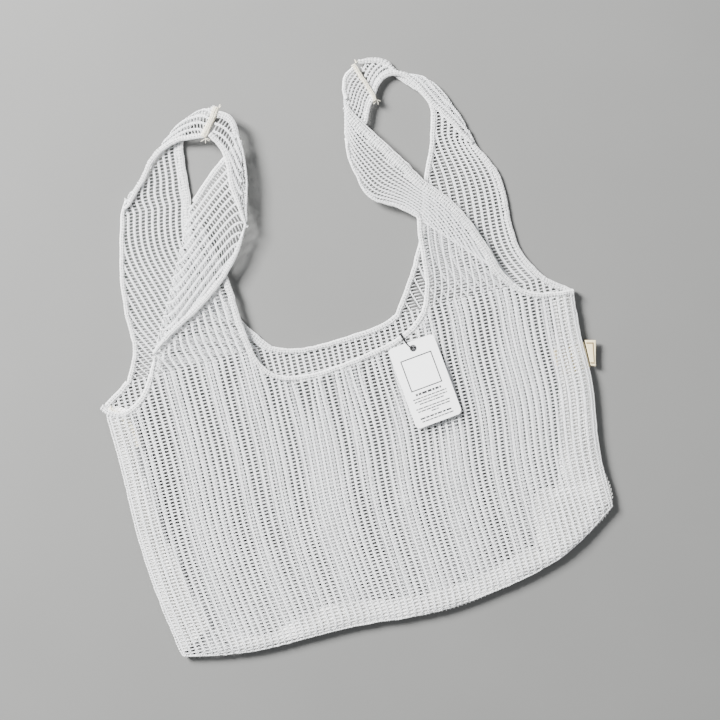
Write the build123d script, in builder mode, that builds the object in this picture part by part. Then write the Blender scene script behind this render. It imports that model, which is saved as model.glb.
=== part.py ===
"""A vest-shaped mesh market bag, lying flat on a table with its two shoulder straps twisted over.

X runs across the bag, Y towards the strap tops and Z up from the table. The origin is in the
middle of the bag's outline, on the table. All sizes are in millimetres.
"""
import os
from math import radians, tan

from build123d import *

os.makedirs("parts", exist_ok=True)

# Layers, from the table up
NET = 3.0  # one layer of the net, with its slack
GAP = 5.0  # room inside the bag between its two panels
BACK_Z = 0.0
SEAM_Z = BACK_Z + NET
FRONT_Z = SEAM_Z + GAP
FRONT_TOP = FRONT_Z + NET

HEM = 8.0  # width of the rolled hems round the neck and the arm holes
STRAP_HEM = 5.0  # and up the straps
HINGE_Y = 36.0  # the line across the strap roots where the handles lift
HINGE_GAP = 1.0  # cut along that line between a handle and the panels
STUB_Y = 60.0  # where the panels' outlines end before that cut
ROOT_Y = 30.0  # where the straps' outlines start before that cut
SPAN = 700.0  # a side of the squares that make the cut

# The two panels: edges they share, then each panel's arm holes and neck
LEFT_SIDE = [(-260.5, 6), (-258.5, -60), (-259, -120), (-255.5, -190), (-243.5, -272)]
BOTTOM = [(-243.5, -272), (-182, -283), (-54, -285), (21.5, -290.5), (93, -284.5), (175, -264), (235, -227)]
RIGHT_SIDE = [(235, -227), (237.5, -150), (245, -100), (246, -45), (249.5, 4.5)]
FRONT_LEFT_ARM = [(-186, STUB_Y), (-200, 36), (-218.5, 6.5), (-246.5, -5.5), (-260.5, 6)]
FRONT_NECK = [
    (102, STUB_Y), (97.5, 41.5), (89.5, 22.5), (61.5, 1.5), (20.5, -8.5), (-45.5, -14.5), (-79.5, -3.5),
    (-95, 31.5), (-97, STUB_Y),
]
FRONT_RIGHT_ARM = [(249.5, 4.5), (222.5, 7.5), (203.5, 13.5), (184, 38), (176, STUB_Y)]
BACK_LEFT_ARM = [(-215.5, STUB_Y), (-223, 36), (-240, 19), (-260.5, 6)]
BACK_NECK = [(88, STUB_Y), (82.5, 45.5), (59.5, 23.5), (9.5, 14.5), (-40.5, 13.5), (-75.5, 25.5), (-98.5, STUB_Y)]
BACK_RIGHT_ARM = [(249.5, 4.5), (237.5, 13.5), (217.5, 31.5), (210.5, 44.5), (206, STUB_Y)]

# Inner edges of the seam allowances, which lie between the panels
LEFT_SEAM_IN = [(-206, -250), (-218, -200), (-231, -134), (-236, -80), (-236, -2)]
BOTTOM_SEAM_IN = [(149.5, -245), (58.5, -268), (-10, -267), (-97, -258), (-162, -270), (-206, -250)]
RIGHT_SEAM_IN = [(223, 0), (216, -60), (206.5, -104.5), (181.5, -199.5)]
CORNER_FOLD = (158.5, -194.5)  # the right seam's allowance turned over at the bottom corner

# Each strap is a stack of flat stretches that meet where the net folds over itself
LEFT_BACK_ARM = [
    (-66.5, 276), (-79, 283), (-105.5, 277.5), (-135, 257), (-153, 237.5), (-170, 223), (-185, 211), (-196, 193),
    (-207.5, 149.5), (-215.5, 60), (-226, ROOT_Y),
]
LEFT_BACK_NECK = [(-84, ROOT_Y), (-98.5, 60), (-126, 150), (-120.5, 192.5), (-115.5, 240)]
LEFT_BACK_FOLD = [(-115.5, 251.5), (-98.5, 253), (-85.5, 252.5)]
LEFT_LOW_FOLD = [(-118.5, 189.5), (-135.5, 142.5), (-161.5, 80), (-204, ROOT_Y)]
LEFT_LOW_NECK = [(-95, ROOT_Y), (-97.5, 79.5), (-103.5, 118.5), (-118.5, 189.5)]
LEFT_MID_NECK = [(-71.5, 229.5), (-99.5, 207.5), (-118.5, 189.5)]
LEFT_MID_ARM = [(-191.5, 46), (-148.5, 74.5), (-101.5, 106.5), (-69, 150)]
LEFT_MID_TURN = [(-69, 150), (-56.5, 191.5), (-52.5, 218)]
LEFT_MID_FOLD = [(-118.5, 189.5), (-135.5, 142.5), (-161.5, 80), (-190.5, 50)]
LEFT_TOP_ARM = [(-69, 150), (-74.5, 195.5), (-74.5, 233.5), (-85.5, 252.5)]
LEFT_TOP_NECK = [(-66.5, 276), (-58.5, 270), (-53, 261), (-51.5, 246.5), (-52.5, 218), (-56.5, 191.5), (-69, 150)]
RIGHT_BACK_NECK = [(72, ROOT_Y), (91.5, 69.5), (111.5, 111.5), (138.5, 185.5), (149, 225)]
RIGHT_BACK_PINCH = [(149, 225), (121.5, 264), (95.5, 249.5)]
RIGHT_BACK_ARM = [
    (217.5, ROOT_Y), (204.5, 76.5), (202.5, 145.5), (184.5, 191.5), (160, 250), (126.5, 274), (84, 290.5),
]
RIGHT_TOP_ARM = [(84, 290.5), (69.5, 280.5), (62, 262)]
RIGHT_TOP_FOLD = [(62, 262), (57, 230), (52.5, 195.5)]
RIGHT_TOP_NECK = [(52.5, 195.5), (79.5, 224.5), (95.5, 249.5)]
RIGHT_LOW_ARM = [(190, ROOT_Y), (177, 57), (158, 109), (124.5, 153.5), (79.5, 224.5), (62, 262)]
RIGHT_LOW_NECK = [(52.5, 195.5), (65.5, 147.5), (88, 128), (104, 110), (102.5, 74.5), (94, ROOT_Y)]

# Overlocked seam at the top of each strap: its middle, its turn about +Z and its top
SHOULDER_SIZE = (44.0, 6.0)
SHOULDER_CORNER = 2.0
LEFT_SHOULDER = ((-77, 264.5), 56.8)
RIGHT_SHOULDER = ((89.8, 270), -74.3)

# Woven label in the right side seam: a sewn-in tail and the flap that shows outside
LABEL_Y = (-80.0, -52.0)
LABEL_TAIL_X = (219.0, 247.5)
LABEL_FLAP = [(248.8, -78.5), (248.8, -51), (259.4, -53.3), (252.6, -79.7)]  # sewn in at a slant
LABEL_THICK = 1.0
LABEL_Z = SEAM_Z + (GAP - LABEL_THICK) / 2

# Hang tag, its eyelet and its string
TAG_WIDTH = 50.8
TAG_LENGTH = 88.9
TAG_CORNER = 4.8
TAG_THICK = 0.5
TAG_Z = FRONT_TOP + 2.4
TAG_TURN = 6.3  # degrees about +Z
TAG_HOLE = (70.5, -14.9)
TAG_HOLE_ACROSS = 0.5  # from the card's middle line
TAG_HOLE_DOWN = 7.5  # from the card's top edge
EYELET_OUTER = 3.6  # radius of its two lips
EYELET_TUBE = 3.0  # radius in the card
EYELET_INNER = 2.6
EYELET_LIP = 0.1
STRING_D = 1.2
STRING_BEND = 0.45  # share of the shorter run that a bend takes up
STRING_ROUTE = [
    (60.8, 2.6, 10.9), (61.9, -1.6, 14.5), (64.3, -8.0, 15.4), (67.6, -13.4, 15.5), (71.2, -15.6, 13.7),
    (68.3, -12.4, 12.0), (65.2, -7.4, 12.2), (62.9, -1.2, 12.6), (61.8, 3.2, 10.9),
]


def draw_outline(edges):
    """The face inside a closed chain of edges, in the open sketch. A chain's gaps are closed by lines."""
    with BuildLine() as chain:
        for edge, following in zip(edges, edges[1:] + edges[:1]):
            Spline(*edge)
            if edge[-1] != following[0]:
                Line(edge[-1], following[0])
    make_face(chain.edges())


def draw_hem_band(edge, width, mode):
    """A band as wide as a hem to each side of an edge, put in or taken from the open sketch."""
    with BuildLine() as middle:
        Spline(*edge)
    trace(middle.line, line_width=2 * width, mode=mode)


def draw_shoulder(shoulder, mode):
    """The outline of a shoulder seam in the open sketch."""
    middle, turn = shoulder
    with Locations(middle):
        Rectangle(*SHOULDER_SIZE, rotation=turn, mode=mode)


def keep_side(handle):
    """Cut the open sketch at the line across the strap roots and keep the handle's side or the panels'."""
    middle = HINGE_Y + (SPAN + HINGE_GAP) / 2 * (1 if handle else -1)
    with Locations((0, middle)):
        Rectangle(SPAN, SPAN, mode=Mode.INTERSECT)


def finish(made, name):
    made.part.label = name
    export_step(made.part, f"parts/{name}.step")


def make_net(name, stretches, shoulder=None):
    """A panel, or a strap that ends at a shoulder seam. Each stretch is its height, edges and hems."""
    width = STRAP_HEM if shoulder else HEM
    with BuildPart() as net:
        for z, edges, hem_edges in stretches:
            with BuildSketch(Plane.XY.offset(z)):
                draw_outline(edges)
                for edge in hem_edges:
                    draw_hem_band(edge, width, Mode.SUBTRACT)
                if shoulder:
                    draw_shoulder(shoulder, Mode.SUBTRACT)
                keep_side(handle=shoulder is not None)
            extrude(amount=NET)
    finish(net, name)


def make_hem(name, stretches, shoulder=None):
    """The hem along one edge of a net. Each stretch is its height, edges, own edge and edges taken first."""
    width = STRAP_HEM if shoulder else HEM
    with BuildPart() as hem:
        for z, edges, own_edge, taken in stretches:
            with BuildSketch(Plane.XY.offset(z)):
                draw_outline(edges)
                draw_hem_band(own_edge, width, Mode.INTERSECT)
                for edge in taken:
                    draw_hem_band(edge, width, Mode.SUBTRACT)
                if shoulder:
                    draw_shoulder(shoulder, Mode.SUBTRACT)
                keep_side(handle=shoulder is not None)
            extrude(amount=NET)
    finish(hem, name)


def make_allowance(name, edges):
    """A seam allowance that fills the room between the panels; the right one has a slot for the label."""
    with BuildPart() as allowance:
        with BuildSketch(Plane.XY.offset(SEAM_Z)):
            draw_outline(edges)
        extrude(amount=GAP)
        if name == "right_side_seam":
            with BuildSketch(Plane.XY.offset(LABEL_Z)):
                with Locations((sum(LABEL_TAIL_X) / 2, sum(LABEL_Y) / 2)):
                    Rectangle(LABEL_TAIL_X[1] - LABEL_TAIL_X[0], LABEL_Y[1] - LABEL_Y[0])
            extrude(amount=LABEL_THICK, mode=Mode.SUBTRACT)
    finish(allowance, name)


def corner_radii(route):
    """An arc for each corner of a route, as large as its shorter run allows."""
    radii = []
    for before, corner, after in zip(route, route[1:], route[2:]):
        arriving = Vector(*corner) - Vector(*before)
        leaving = Vector(*after) - Vector(*corner)
        turn = radians(arriving.get_angle(leaving))
        radii.append(STRING_BEND * min(arriving.length, leaving.length) / tan(turn / 2))
    return radii


# --- Panels and their hems ----------------------------------------------------------------------
SIDES = [LEFT_SIDE, BOTTOM, RIGHT_SIDE]
FRONT = SIDES + [FRONT_RIGHT_ARM, FRONT_NECK, FRONT_LEFT_ARM]
BACK = SIDES + [BACK_RIGHT_ARM, BACK_NECK, BACK_LEFT_ARM]

make_net("front_panel", [(FRONT_Z, FRONT, FRONT[3:])])
make_net("back_panel", [(BACK_Z, BACK, BACK[3:])])
for panel, z, outline in (("front", FRONT_Z, FRONT), ("back", BACK_Z, BACK)):
    for place, edge in zip(("right_armhole", "neck", "left_armhole"), outline[3:]):
        make_hem(f"{panel}_{place}_hem", [(z, outline, edge, [])])

# --- Straps and their hems ----------------------------------------------------------------------
MID_Z = FRONT_TOP  # the left strap's stretch that lies over its root
TOP_Z = FRONT_TOP + NET  # and the one over that, up to the shoulder seam
UNDER_Z = FRONT_Z - NET  # the right strap's stretch that lies under its root

left_back = [LEFT_BACK_ARM, LEFT_BACK_NECK, LEFT_BACK_FOLD]
left_low = [LEFT_LOW_FOLD, LEFT_LOW_NECK]
left_mid = [LEFT_MID_NECK, LEFT_MID_FOLD, LEFT_MID_ARM, LEFT_MID_TURN]
left_top = [LEFT_TOP_NECK, LEFT_TOP_ARM]
right_back = [RIGHT_BACK_ARM, RIGHT_BACK_PINCH[::-1], RIGHT_BACK_NECK[::-1]]
right_top = [RIGHT_TOP_ARM, RIGHT_TOP_FOLD, RIGHT_TOP_NECK]
right_low = [RIGHT_LOW_ARM, RIGHT_TOP_FOLD, RIGHT_LOW_NECK]

make_net("left_back_strap", [(BACK_Z, left_back, [LEFT_BACK_ARM, LEFT_BACK_NECK])], LEFT_SHOULDER)
make_net(
    "left_front_strap",
    [
        (FRONT_Z, left_low, [LEFT_LOW_NECK]),
        (MID_Z, left_mid, [LEFT_MID_NECK, LEFT_MID_ARM]),
        (TOP_Z, left_top, left_top),
    ],
    LEFT_SHOULDER,
)
make_hem("left_back_strap_arm_hem", [(BACK_Z, left_back, LEFT_BACK_ARM, [])], LEFT_SHOULDER)
make_hem("left_back_strap_neck_hem", [(BACK_Z, left_back, LEFT_BACK_NECK, [LEFT_BACK_ARM])], LEFT_SHOULDER)
make_hem(
    "left_front_strap_neck_hem",
    [
        (FRONT_Z, left_low, LEFT_LOW_NECK, []),
        (MID_Z, left_mid, LEFT_MID_NECK, []),
        (TOP_Z, left_top, LEFT_TOP_NECK, []),
    ],
    LEFT_SHOULDER,
)
make_hem(
    "left_front_strap_arm_hem",
    [(MID_Z, left_mid, LEFT_MID_ARM, [LEFT_MID_NECK]), (TOP_Z, left_top, LEFT_TOP_ARM, [LEFT_TOP_NECK])],
    LEFT_SHOULDER,
)

make_net("right_back_strap", [(BACK_Z, right_back, [RIGHT_BACK_ARM, RIGHT_BACK_NECK])], RIGHT_SHOULDER)
make_net(
    "right_front_strap",
    [(FRONT_Z, right_low, [RIGHT_LOW_ARM, RIGHT_LOW_NECK]), (UNDER_Z, right_top, [RIGHT_TOP_ARM, RIGHT_TOP_NECK])],
    RIGHT_SHOULDER,
)
make_hem("right_back_strap_arm_hem", [(BACK_Z, right_back, RIGHT_BACK_ARM, [])], RIGHT_SHOULDER)
make_hem("right_back_strap_neck_hem", [(BACK_Z, right_back, RIGHT_BACK_NECK, [RIGHT_BACK_ARM])], RIGHT_SHOULDER)
make_hem(
    "right_front_strap_neck_hem",
    [(FRONT_Z, right_low, RIGHT_LOW_NECK, []), (UNDER_Z, right_top, RIGHT_TOP_NECK, [])],
    RIGHT_SHOULDER,
)
make_hem(
    "right_front_strap_arm_hem",
    [
        (FRONT_Z, right_low, RIGHT_LOW_ARM, [RIGHT_LOW_NECK]),
        (UNDER_Z, right_top, RIGHT_TOP_ARM, [RIGHT_TOP_NECK]),
    ],
    RIGHT_SHOULDER,
)

for side, shoulder, top in (("left", LEFT_SHOULDER, TOP_Z + NET), ("right", RIGHT_SHOULDER, FRONT_Z)):
    with BuildPart() as shoulder_seam:
        with BuildSketch(Plane.XY):
            draw_shoulder(shoulder, Mode.ADD)
        extrude(amount=top)
        fillet(shoulder_seam.edges().filter_by(Axis.Z), SHOULDER_CORNER)
    finish(shoulder_seam, f"{side}_shoulder_seam")

# --- Seam allowances between the panels, and the label that the right one holds ------------------
make_allowance("left_side_seam", [LEFT_SIDE, LEFT_SEAM_IN])
make_allowance("right_side_seam", [RIGHT_SIDE, RIGHT_SEAM_IN])
make_allowance("bottom_seam", [BOTTOM, [RIGHT_SEAM_IN[-1], CORNER_FOLD], BOTTOM_SEAM_IN])

with BuildPart() as label_tail:
    with BuildSketch(Plane.XY.offset(LABEL_Z)):
        with Locations((sum(LABEL_TAIL_X) / 2, sum(LABEL_Y) / 2)):
            Rectangle(LABEL_TAIL_X[1] - LABEL_TAIL_X[0], LABEL_Y[1] - LABEL_Y[0])
    extrude(amount=LABEL_THICK)
finish(label_tail, "side_label_tail")

with BuildPart() as label_flap:
    with BuildSketch(Plane.XY.offset(LABEL_Z)):
        with BuildLine():
            Polyline(*LABEL_FLAP, close=True)
        make_face()
    extrude(amount=LABEL_THICK)
finish(label_flap, "side_label_flap")

# --- Hang tag -----------------------------------------------------------------------------------
tag_plane = Plane(origin=(*TAG_HOLE, TAG_Z), z_dir=(0, 0, 1)).rotated((0, 0, TAG_TURN))
with BuildPart() as hang_tag:
    with BuildSketch(tag_plane):
        with Locations((-TAG_HOLE_ACROSS, TAG_HOLE_DOWN - TAG_LENGTH / 2)):
            RectangleRounded(TAG_WIDTH, TAG_LENGTH, TAG_CORNER)
        Circle(EYELET_TUBE, mode=Mode.SUBTRACT)
    extrude(amount=TAG_THICK)
finish(hang_tag, "hang_tag")

with BuildPart() as tag_eyelet:
    with BuildSketch(tag_plane):
        Circle(EYELET_TUBE)
        Circle(EYELET_INNER, mode=Mode.SUBTRACT)
    extrude(amount=TAG_THICK)
    for side, lip_z in ((-1, -EYELET_LIP), (1, TAG_THICK)):
        with BuildSketch(tag_plane.offset(lip_z)):
            Circle(EYELET_OUTER)
            Circle(EYELET_INNER, mode=Mode.SUBTRACT)
        extrude(amount=EYELET_LIP)
finish(tag_eyelet, "tag_eyelet")


with BuildPart() as tag_string:
    with BuildLine() as string_path:
        FilletPolyline(*STRING_ROUTE, radius=corner_radii(STRING_ROUTE))
    with BuildSketch(Plane(origin=string_path.line @ 0, z_dir=string_path.line % 0)):
        Circle(STRING_D / 2)
    sweep()
finish(tag_string, "tag_string")
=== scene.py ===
"""A white cotton net produce bag laid flat, with its hang tag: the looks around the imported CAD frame."""
import math

import bpy
import numpy as np
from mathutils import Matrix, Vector


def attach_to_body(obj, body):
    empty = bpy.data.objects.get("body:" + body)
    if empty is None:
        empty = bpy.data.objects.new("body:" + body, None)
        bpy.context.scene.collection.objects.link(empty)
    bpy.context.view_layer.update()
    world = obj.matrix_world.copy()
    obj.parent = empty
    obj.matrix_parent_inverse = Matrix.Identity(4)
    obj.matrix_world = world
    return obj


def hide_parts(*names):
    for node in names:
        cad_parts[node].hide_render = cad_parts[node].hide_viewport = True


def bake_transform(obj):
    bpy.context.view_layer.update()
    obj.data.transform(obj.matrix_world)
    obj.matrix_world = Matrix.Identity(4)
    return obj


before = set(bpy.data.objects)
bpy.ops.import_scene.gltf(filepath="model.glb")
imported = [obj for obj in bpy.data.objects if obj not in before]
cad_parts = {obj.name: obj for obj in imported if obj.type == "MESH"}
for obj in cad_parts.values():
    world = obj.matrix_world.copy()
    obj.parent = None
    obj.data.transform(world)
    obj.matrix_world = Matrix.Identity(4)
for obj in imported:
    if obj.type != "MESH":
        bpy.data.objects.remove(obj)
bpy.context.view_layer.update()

MM = 0.001
RNG = np.random.default_rng(7)  # shared by all nets, in the order they are made


def add_object(name, data):
    """A new object of some mesh, curve, camera or light, in the scene."""
    made = bpy.data.objects.new(name, data)
    bpy.context.scene.collection.objects.link(made)
    return made


def add_mesh(name, verts, faces, material):
    """A new object from lists of points, in mm, and faces."""
    mesh = bpy.data.meshes.new(name)
    mesh.from_pydata([tuple(v * MM for v in point) for point in verts], [], faces)
    mesh.materials.append(material)
    return add_object(name, mesh)


# --- the camera
VIEW_MIDDLE = (0.0135, -0.0135)
VIEW_WIDTH = 0.756
CAMERA_HEIGHT = 1.6
CAMERA_ROLL = math.radians(-14)

camera_data = bpy.data.cameras.new("camera")
camera_data.sensor_width = 36
camera_data.lens = 36 * CAMERA_HEIGHT / VIEW_WIDTH
camera = add_object("camera", camera_data)
camera.location = (*VIEW_MIDDLE, CAMERA_HEIGHT + 0.01)
camera.rotation_euler = (0, 0, CAMERA_ROLL)
bpy.context.scene.camera = camera

# --- sizes of the net, in mm
WALE = 7.6          # from one wale to the next
ROW = 3.57          # from one crossbar to the next
STEPS = 4           # points of a wale for each row
STRAND = 0.50       # radius of a wale's strand
PLAIT = 0.96        # how far a strand swings across its wale
PLAIT_DEPTH = 0.42  # and through it
BAR = 0.29          # radius of a crossbar's thread
BAR_GAP = 0.30      # how far a crossbar's two threads lie from its middle
PANEL_NET = 516     # the panels' width, which their wales share out
PANEL_PARTS, STRAP_PARTS = 6, 2     # pieces that a net is made in
HEM_COVER = 2.8     # how far a strap's hem reaches over its net
ROOT = 24.0         # where the panels' net ends and the straps' begins
LOW_Y = -292.0      # past the lowest point of the bag
BACK_Z, FRONT_Z = 1.7, 9.3
SEAM_MID = 5.5      # height of the seam round the rim
SEAM_WALE = 4.3     # the allowances lie squeezed and slanted, so their wales come closer
SEAM_LEVELS = (4.0, 7.6)            # the two layers of an allowance

# --- outlines, in mm

LEFT_SIDE = [(-260.5, 6), (-258.5, -60), (-259, -120), (-255.5, -190), (-243.5, -272)]
BOTTOM = [(-243.5, -272), (-182, -283), (-54, -285), (21.5, -290.5), (93, -284.5), (175, -264), (235, -227)]
RIGHT_SIDE = [(235, -227), (237.5, -150), (245, -100), (246, -45), (249.5, 4.5)]
FRONT_LEFT_ARM = [(-186, 60), (-200, 36), (-218.5, 6.5), (-246.5, -5.5), (-260.5, 6)]
FRONT_NECK = [(102, 60), (97.5, 41.5), (89.5, 22.5), (61.5, 1.5), (20.5, -8.5), (-45.5, -14.5), (-79.5, -3.5),
              (-95, 31.5), (-97, 60)]
FRONT_RIGHT_ARM = [(249.5, 4.5), (222.5, 7.5), (203.5, 13.5), (184, 38), (176, 60)]
BACK_LEFT_ARM = [(-215.5, 60), (-223, 36), (-240, 19), (-260.5, 6)]
BACK_NECK = [(88, 60), (82.5, 45.5), (59.5, 23.5), (9.5, 14.5), (-40.5, 13.5), (-75.5, 25.5), (-98.5, 60)]
BACK_RIGHT_ARM = [(249.5, 4.5), (237.5, 13.5), (217.5, 31.5), (210.5, 44.5), (206, 60)]
LEFT_SEAM_IN = [(-206, -250), (-218, -200), (-231, -134), (-236, -80), (-236, -2)]
BOTTOM_SEAM_IN = [(149.5, -245), (58.5, -268), (-10, -267), (-97, -258), (-162, -270), (-206, -250)]
RIGHT_SEAM_IN = [(223, 0), (216, -60), (206.5, -104.5), (181.5, -199.5)]

STRING_ROUTE = [(60.8, 2.6, 10.9), (61.9, -1.6, 14.5), (64.3, -8.0, 15.4), (67.6, -13.4, 15.5), (71.2, -15.6, 13.7),
                (68.3, -12.4, 12.0), (65.2, -7.4, 12.2), (62.9, -1.2, 12.6), (61.8, 3.2, 10.9)]


# --- materials
def new_material(name, color, roughness, noise_scale, spread, bump, fibre=900, sheen=0.0):
    """A matt material whose colour drifts a little and whose surface has fibres; scales in 1/m."""
    material = bpy.data.materials.new(name)
    material.use_nodes = True
    nodes, links = material.node_tree.nodes, material.node_tree.links
    shader = nodes["Principled BSDF"]
    shader.inputs["Roughness"].default_value = roughness
    shader.inputs["Sheen Weight"].default_value = sheen
    coords = nodes.new("ShaderNodeTexCoord")

    def noise(scale, detail):
        texture = nodes.new("ShaderNodeTexNoise")
        texture.inputs["Scale"].default_value = scale
        texture.inputs["Detail"].default_value = detail
        links.new(coords.outputs["Object"], texture.inputs["Vector"])
        return texture

    patches = noise(noise_scale, 4)
    ramp = nodes.new("ShaderNodeValToRGB")
    for stop, position, dim in zip(ramp.color_ramp.elements, (0.3, 0.7), (1 - spread, 1)):
        stop.position, stop.color = position, (*[c * dim for c in color], 1)
    links.new(patches.outputs["Fac"], ramp.inputs["Fac"])
    links.new(ramp.outputs["Color"], shader.inputs["Base Color"])
    fibres = noise(fibre, 3)
    relief = nodes.new("ShaderNodeBump")
    relief.inputs["Strength"].default_value = bump
    relief.inputs["Distance"].default_value = 0.0003
    links.new(fibres.outputs["Fac"], relief.inputs["Height"])
    links.new(relief.outputs["Normal"], shader.inputs["Normal"])
    return material


NET = new_material("cotton_net", (0.80, 0.805, 0.81), 0.85, 45, 0.07, 0.5, sheen=0.1)
HEM_THREAD = new_material("hem_thread", (0.87, 0.87, 0.865), 0.85, 160, 0.12, 0.5, sheen=0.15)
# the white hems' core is grey as painted shade: it stands for the white fabric lying shadowed under the overlock
# threads
SHADED_HEM_CORE = new_material("hem_core_painted_shade", (0.44, 0.445, 0.445), 0.9, 260, 0.22, 0.9, 700)
ALLOWANCE = new_material("allowance_net", (0.94, 0.93, 0.90), 0.85, 60, 0.06, 0.5, sheen=0.2)
BORDER = new_material("label_border", (0.26, 0.19, 0.09), 0.75, 200, 0.2, 0.4, 900)
CREAM = new_material("overlock_thread", (0.86, 0.81, 0.66), 0.8, 200, 0.14, 0.5, sheen=0.15)
CREAM_CORE = new_material("overlock_core", (0.78, 0.74, 0.64), 0.9, 260, 0.2, 0.8, 700)
CARD = new_material("tag_card", (0.93, 0.93, 0.93), 0.55, 30, 0.02, 0.12, 2500)
INK = new_material("tag_ink", (0.02, 0.02, 0.022), 0.5, 300, 0.25, 0.1, 2500)
STRING = new_material("tag_string", (0.008, 0.008, 0.009), 0.95, 400, 0.4, 0.6, 1800)
EYELET = new_material("tag_eyelet", (0.02, 0.02, 0.022), 0.7, 200, 0.3, 0.1, 900)
FLOOR = new_material("pale_floor", (0.14, 0.14, 0.135), 0.8, 6, 0.05, 0.05, 120)


def label_material():
    """Cream ribbon with a fine over-and-under weave."""
    material = new_material("woven_label", (0.80, 0.68, 0.41), 0.7, 120, 0.08, 0.4, sheen=0.2)
    nodes, links = material.node_tree.nodes, material.node_tree.links
    coords = next(n for n in nodes if n.type == "TEX_COORD")
    relief = next(n for n in nodes if n.type == "BUMP")
    weave = nodes.new("ShaderNodeTexChecker")
    weave.inputs["Scale"].default_value = 2200
    links.new(coords.outputs["Object"], weave.inputs["Vector"])
    links.new(weave.outputs["Fac"], relief.inputs["Height"])
    relief.inputs["Strength"].default_value = 0.35
    return material


LABEL = label_material()


# --- curves
def lengths(points):
    """How far along a line each of its points lies."""
    return np.concatenate([[0], np.cumsum(np.linalg.norm(np.diff(points, axis=0), axis=1))])


def spread_out(values, count):
    """A few values shared out evenly over more samples."""
    return np.interp(np.linspace(0, len(values) - 1, count), np.arange(len(values)), values)


def spline(points, step=1.0, count=None):
    """Points at even distances along a smooth curve through the given ones."""
    points = np.asarray(points, float)
    if len(points) == 2:
        fine = points[0] + np.linspace(0, 1, 400)[:, None] * (points[1] - points[0])
    else:
        t = lengths(points)
        h = np.diff(t)
        size = len(points)
        system, right = np.eye(size), np.zeros_like(points)
        for i in range(1, size - 1):
            system[i, i - 1:i + 2] = h[i - 1], 2 * (h[i - 1] + h[i]), h[i]
            right[i] = 6 * ((points[i + 1] - points[i]) / h[i] - (points[i] - points[i - 1]) / h[i - 1])
        bend = np.linalg.solve(system, right)
        where = np.linspace(0, t[-1], 1200)
        k = np.clip(np.searchsorted(t, where, side="right") - 1, 0, size - 2)
        a, b, w = (t[k + 1] - where)[:, None], (where - t[k])[:, None], h[k][:, None]
        fine = (bend[k] * a ** 3 + bend[k + 1] * b ** 3) / (6 * w) \
            + (points[k] / w - bend[k] * w / 6) * a + (points[k + 1] / w - bend[k + 1] * w / 6) * b
    along = lengths(fine)
    count = count or max(2, int(round(along[-1] / step)) + 1)
    even = np.linspace(0, along[-1], count)
    return np.stack([np.interp(even, along, fine[:, i]) for i in range(fine.shape[1])], axis=1)


def smooth(values, width, axis=0):
    """A bell-shaped average along an axis, with the ends held."""
    reach = min(int(math.ceil(3 * width)), values.shape[axis] - 1)
    if reach < 1:
        return values
    bell = np.exp(-0.5 * (np.arange(-reach, reach + 1) / width) ** 2)
    bell /= bell.sum()
    moved = np.moveaxis(values, axis, 0)
    # reflect about each end point, so that ends stay where they are
    head = 2 * moved[0] - moved[reach:0:-1]
    tail = 2 * moved[-1] - moved[-2:-reach - 2:-1]
    padded = np.concatenate([head, moved, tail])
    result = sum(b * padded[i:i + len(moved)] for i, b in enumerate(bell))
    return np.moveaxis(result, 0, axis)


def unit(vectors):
    """Vectors scaled to length 1."""
    return vectors / np.maximum(np.linalg.norm(vectors, axis=-1, keepdims=True), 1e-9)


def inside(points, outline):
    """Which points (n, 2) lie inside a closed outline (m, 2)."""
    x, y = points[:, 0], points[:, 1]
    within = np.zeros(len(points), bool)
    for (a, b), (c, d) in zip(outline, np.roll(outline, -1, axis=0)):
        if b == d:
            continue
        crosses = (b > y) != (d > y)
        within ^= crosses & (x < (c - a) * (y - b) / (d - b) + a)
    return within


def wavy(x, y, seed, scales, size):
    """Smooth seeded noise: a few crossing waves; scales are their lengths in x and in y."""
    rng = np.random.default_rng(seed)
    total = 0
    for _ in range(5):
        kx, ky = rng.uniform(0.6, 1.6, 2) * 2 * math.pi / np.array(scales)
        total = total + np.sin(kx * x + rng.choice([-1, 1]) * ky * y + rng.uniform(0, 6.28))
    return total * size / 2.2


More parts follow.
